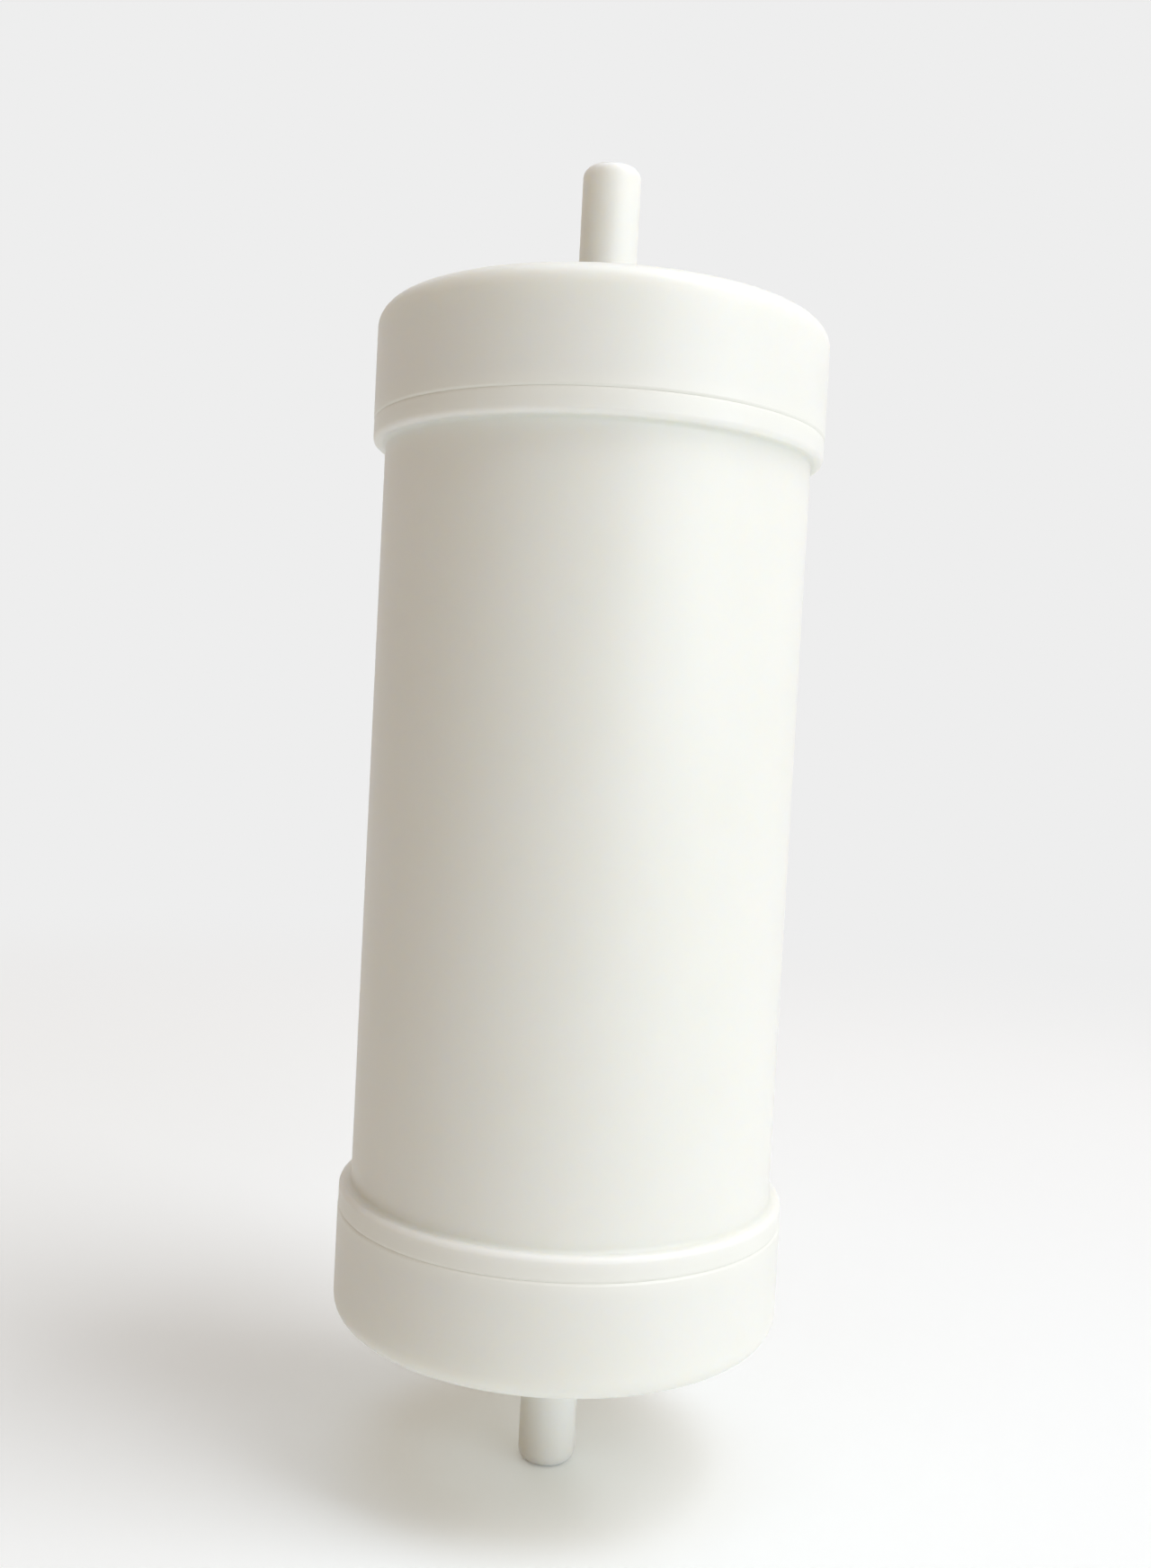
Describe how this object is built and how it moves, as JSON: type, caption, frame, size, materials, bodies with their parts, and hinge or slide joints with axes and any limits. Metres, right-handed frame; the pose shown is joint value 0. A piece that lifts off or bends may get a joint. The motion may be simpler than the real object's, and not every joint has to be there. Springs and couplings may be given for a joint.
{
  "type": "ultrafiltration membrane cartridge",
  "caption": "Inline water filter cartridge: a welded white tube with a plain push-fit stem at each end and potted hollow fibres inside.",
  "frame": {"origin": "centre of the inlet stem's tip, the lowest point of the upright cartridge", "axes": "+Z along the cartridge's axis from the inlet stem to the outlet stem; the fibre loops bend in the XZ plane"},
  "size_m": [0.0492, 0.0492, 0.1436],
  "materials": {
    "white_polypropylene": "smooth satin moulding",
    "natural_polypropylene": "satin, slightly milky",
    "polyester_felt": "non-woven felt",
    "hollow_fibre": "fine matte fibres",
    "potting_resin": "cast resin, cut face"
  },
  "bodies": {
    "root": {"housing_shell": "white_polypropylene", "inlet_end_cap": "white_polypropylene", "outlet_end_cap": "white_polypropylene", "inlet_felt_pad": "polyester_felt", "inlet_grid": "natural_polypropylene", "fibre_bundle": "hollow_fibre", "potting_block": "potting_resin"}
  },
  "joints": []
}
